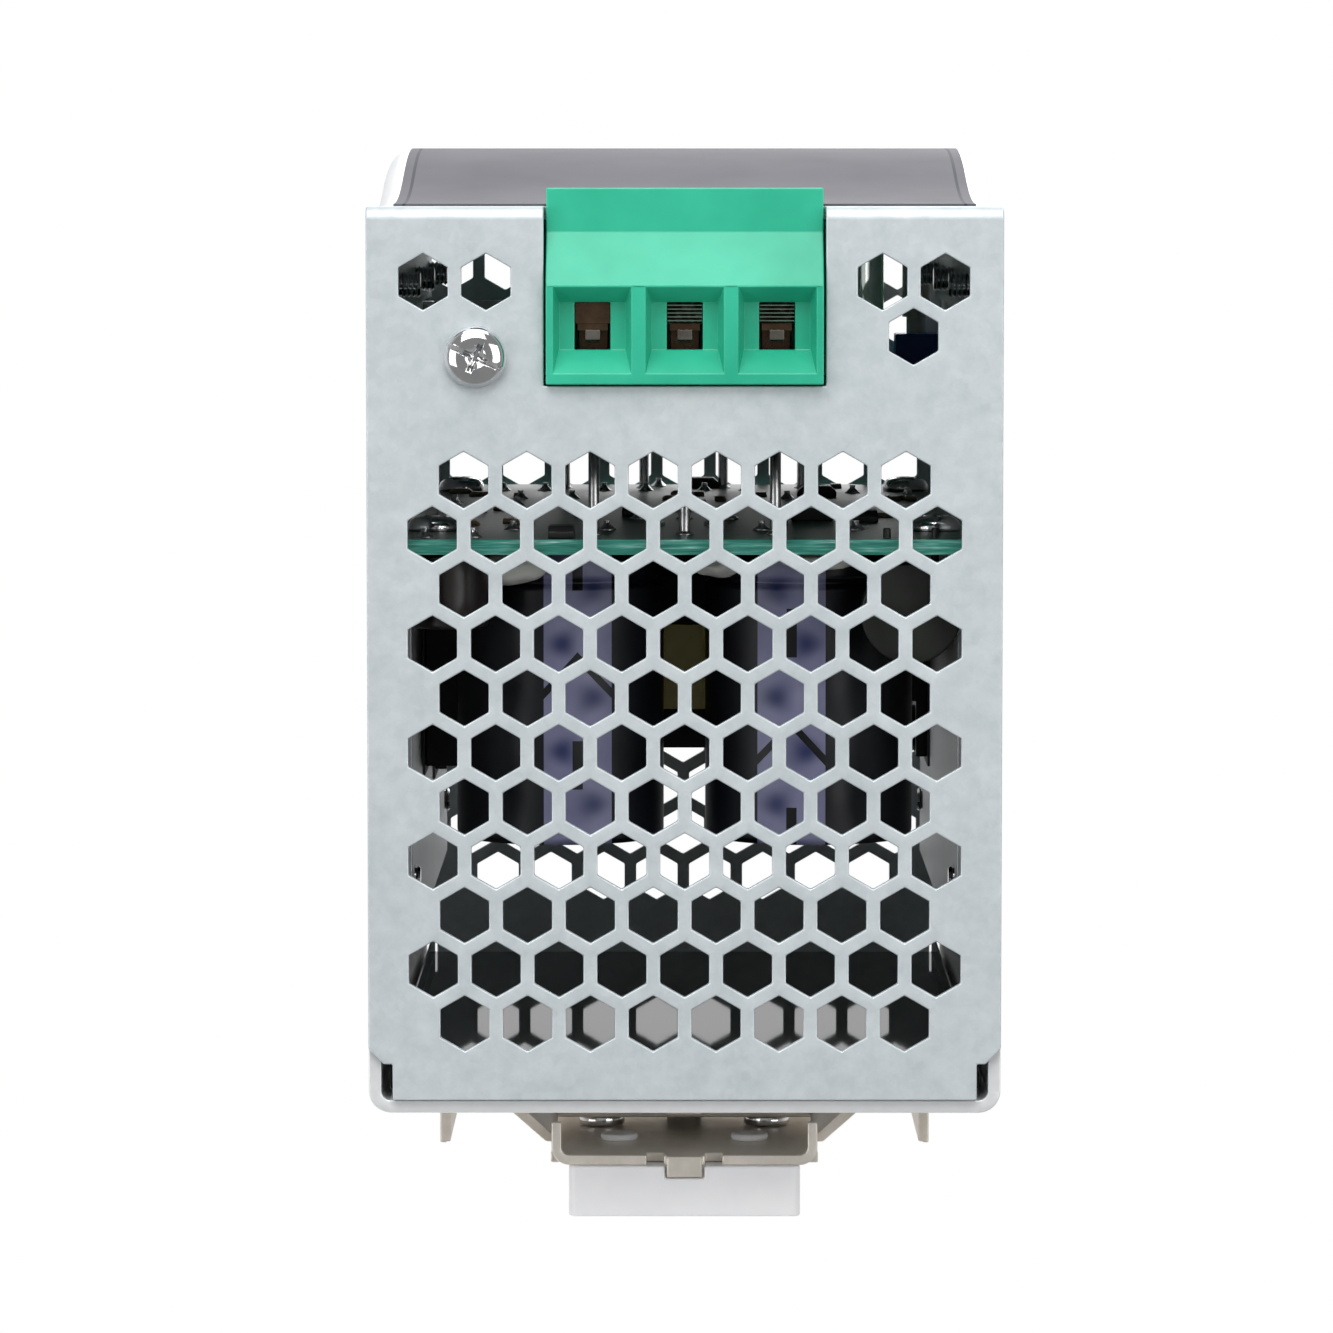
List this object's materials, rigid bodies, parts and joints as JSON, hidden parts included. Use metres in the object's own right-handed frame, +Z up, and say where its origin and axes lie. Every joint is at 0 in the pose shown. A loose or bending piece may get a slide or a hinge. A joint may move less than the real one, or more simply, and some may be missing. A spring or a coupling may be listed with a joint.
{
  "type": "din rail power supply",
  "caption": "Enclosed power supply for a DIN rail: perforated metal case, green screw terminals at both ends, curved front and a spring latch on the back.",
  "frame": {"origin": "middle of the face that rests against the DIN rail, on the rail's centre line", "axes": "+X to the right seen from the front, +Y from the front towards the rail, +Z up as mounted"},
  "size_m": [0.0654, 0.113, 0.129],
  "materials": {
    "case_aluminium": "satin, fine drawing lines",
    "galvanised_panel": "galvanised, dull with a faint spangle",
    "front_aluminium": "satin",
    "front_film": "satin film, brushed look",
    "screw_zinc": "bright zinc plate",
    "lug_steel": "galvanised",
    "terminal_green": "moulded polyamide, satin",
    "terminal_screw": "bright zinc plate",
    "clamp_steel": "zinc plate",
    "contact_copper": "tinned copper alloy",
    "circuit_board": "glass epoxy with green solder mask",
    "tinned_wire": "tinned",
    "trimmer_blue": "moulded",
    "trimmer_white": "moulded",
    "led_green": "diffuse epoxy",
    "clear_pipe": "clear polycarbonate",
    "capacitor_sleeve": "shrink sleeve",
    "ferrite": "sintered ferrite",
    "bobbin_black": "phenolic",
    "winding_tape": "polyester tape",
    "copper_wire": "enamelled copper",
    "film_box": "moulded box",
    "fuse_case": "moulded cap",
    "thermistor_dark": "resin dipped",
    "device_epoxy": "moulded epoxy",
    "pad_grey": "silicone pad",
    "heat_sink_aluminium": "mill finish",
    "powder_core": "coated iron powder with enamelled wire",
    "bracket_steel": "nickel plate",
    "latch_steel": "nickel plate",
    "foot_white": "natural polyamide, slightly translucent",
    "spring_steel": "spring wire"
  },
  "bodies": {
    "case": {"case_shell": "case_aluminium", "bottom_panel": "galvanised_panel", "top_panel": "galvanised_panel", "front_cover": "front_aluminium", "front_label": "front_film", "cover_screws": "screw_zinc", "panel_screws": "screw_zinc", "board_screws": "screw_zinc", "device_screws": "screw_zinc", "heat_sink_screws": "screw_zinc", "bracket_rivets": "screw_zinc", "screw_lugs": "lug_steel", "input_terminal_housing": "terminal_green", "output_terminal_housing": "terminal_green", "input_contacts": "contact_copper", "output_contacts": "contact_copper", "input_board": "circuit_board", "output_board": "circuit_board", "main_board": "circuit_board", "board_posts": "tinned_wire", "trimmer_body": "trimmer_blue", "status_led": "led_green", "light_pipe": "clear_pipe", "bulk_capacitor_left": "capacitor_sleeve", "bulk_capacitor_right": "capacitor_sleeve", "output_capacitors": "capacitor_sleeve", "transformer_core": "ferrite", "choke_core": "ferrite", "transformer_bobbin": "bobbin_black", "transformer_winding": "winding_tape", "choke_windings": "copper_wire", "filter_capacitor": "film_box", "fuse": "fuse_case", "inrush_thermistor": "thermistor_dark", "bridge_rectifier": "device_epoxy", "switching_transistor": "device_epoxy", "output_rectifier": "device_epoxy", "insulator_pads": "pad_grey", "heat_sink_left": "heat_sink_aluminium", "heat_sink_right": "heat_sink_aluminium", "output_inductor": "powder_core", "din_bracket": "bracket_steel", "latch_spring": "spring_steel"},
    "latch": {"latch_plate": "latch_steel", "latch_foot": "foot_white"},
    "trimmer": {"trimmer_rotor": "trimmer_white"},
    "input_screw_1": {"input_screw_1": "terminal_screw"},
    "input_clamp_1": {"input_clamp_1": "clamp_steel"},
    "input_screw_2": {"input_screw_2": "terminal_screw"},
    "input_clamp_2": {"input_clamp_2": "clamp_steel"},
    "input_screw_3": {"input_screw_3": "terminal_screw"},
    "input_clamp_3": {"input_clamp_3": "clamp_steel"},
    "output_screw_1": {"output_screw_1": "terminal_screw"},
    "output_clamp_1": {"output_clamp_1": "clamp_steel"},
    "output_screw_2": {"output_screw_2": "terminal_screw"},
    "output_clamp_2": {"output_clamp_2": "clamp_steel"},
    "output_screw_3": {"output_screw_3": "terminal_screw"},
    "output_clamp_3": {"output_clamp_3": "clamp_steel"},
    "output_screw_4": {"output_screw_4": "terminal_screw"},
    "output_clamp_4": {"output_clamp_4": "clamp_steel"}
  },
  "joints": [
    {"name": "latch_slide", "type": "slide", "parent": "case", "child": "latch", "axis": [0, 0, -1], "range_m": [0, 0.0055], "stiffness_N_per_m": 900, "springref_m": -0.004, "deforming": ["latch_spring"]},
    {"name": "trimmer_turn", "type": "hinge", "parent": "case", "child": "trimmer", "pos_m": [0.0282, -0.099, 0.0564], "axis": [0, 1, 0], "range_deg": [-135, 135]},
    {"name": "input_screw_1_turn", "type": "hinge", "parent": "case", "child": "input_screw_1", "pos_m": [-0.0095, -0.1, -0.0566], "axis": [0, 1, 0], "range_deg": [-540, 1080]},
    {"name": "input_clamp_1_lift", "type": "slide", "parent": "case", "child": "input_clamp_1", "axis": [0, -1, 0], "range_m": [-0.0009, 0.0018]},
    {"name": "input_screw_2_turn", "type": "hinge", "parent": "case", "child": "input_screw_2", "pos_m": [0, -0.1, -0.0566], "axis": [0, 1, 0], "range_deg": [-540, 1080]},
    {"name": "input_clamp_2_lift", "type": "slide", "parent": "case", "child": "input_clamp_2", "axis": [0, -1, 0], "range_m": [-0.0009, 0.0018]},
    {"name": "input_screw_3_turn", "type": "hinge", "parent": "case", "child": "input_screw_3", "pos_m": [0.0095, -0.1, -0.0566], "axis": [0, 1, 0], "range_deg": [-540, 1080]},
    {"name": "input_clamp_3_lift", "type": "slide", "parent": "case", "child": "input_clamp_3", "axis": [0, -1, 0], "range_m": [-0.0009, 0.0018]},
    {"name": "output_screw_1_turn", "type": "hinge", "parent": "case", "child": "output_screw_1", "pos_m": [-0.01425, -0.1, 0.0566], "axis": [0, 1, 0], "range_deg": [-540, 1080]},
    {"name": "output_clamp_1_lift", "type": "slide", "parent": "case", "child": "output_clamp_1", "axis": [0, -1, 0], "range_m": [-0.0009, 0.0018]},
    {"name": "output_screw_2_turn", "type": "hinge", "parent": "case", "child": "output_screw_2", "pos_m": [-0.00475, -0.1, 0.0566], "axis": [0, 1, 0], "range_deg": [-540, 1080]},
    {"name": "output_clamp_2_lift", "type": "slide", "parent": "case", "child": "output_clamp_2", "axis": [0, -1, 0], "range_m": [-0.0009, 0.0018]},
    {"name": "output_screw_3_turn", "type": "hinge", "parent": "case", "child": "output_screw_3", "pos_m": [0.00475, -0.1, 0.0566], "axis": [0, 1, 0], "range_deg": [-540, 1080]},
    {"name": "output_clamp_3_lift", "type": "slide", "parent": "case", "child": "output_clamp_3", "axis": [0, -1, 0], "range_m": [-0.0009, 0.0018]},
    {"name": "output_screw_4_turn", "type": "hinge", "parent": "case", "child": "output_screw_4", "pos_m": [0.01425, -0.1, 0.0566], "axis": [0, 1, 0], "range_deg": [-540, 1080]},
    {"name": "output_clamp_4_lift", "type": "slide", "parent": "case", "child": "output_clamp_4", "axis": [0, -1, 0], "range_m": [-0.0009, 0.0018]}
  ],
  "couplings": [
    {"joint": "input_screw_1_turn", "follows": "input_clamp_1_lift", "rad_per_m": 10472},
    {"joint": "input_screw_2_turn", "follows": "input_clamp_2_lift", "rad_per_m": 10472},
    {"joint": "input_screw_3_turn", "follows": "input_clamp_3_lift", "rad_per_m": 10472},
    {"joint": "output_screw_1_turn", "follows": "output_clamp_1_lift", "rad_per_m": 10472},
    {"joint": "output_screw_2_turn", "follows": "output_clamp_2_lift", "rad_per_m": 10472},
    {"joint": "output_screw_3_turn", "follows": "output_clamp_3_lift", "rad_per_m": 10472},
    {"joint": "output_screw_4_turn", "follows": "output_clamp_4_lift", "rad_per_m": 10472}
  ]
}
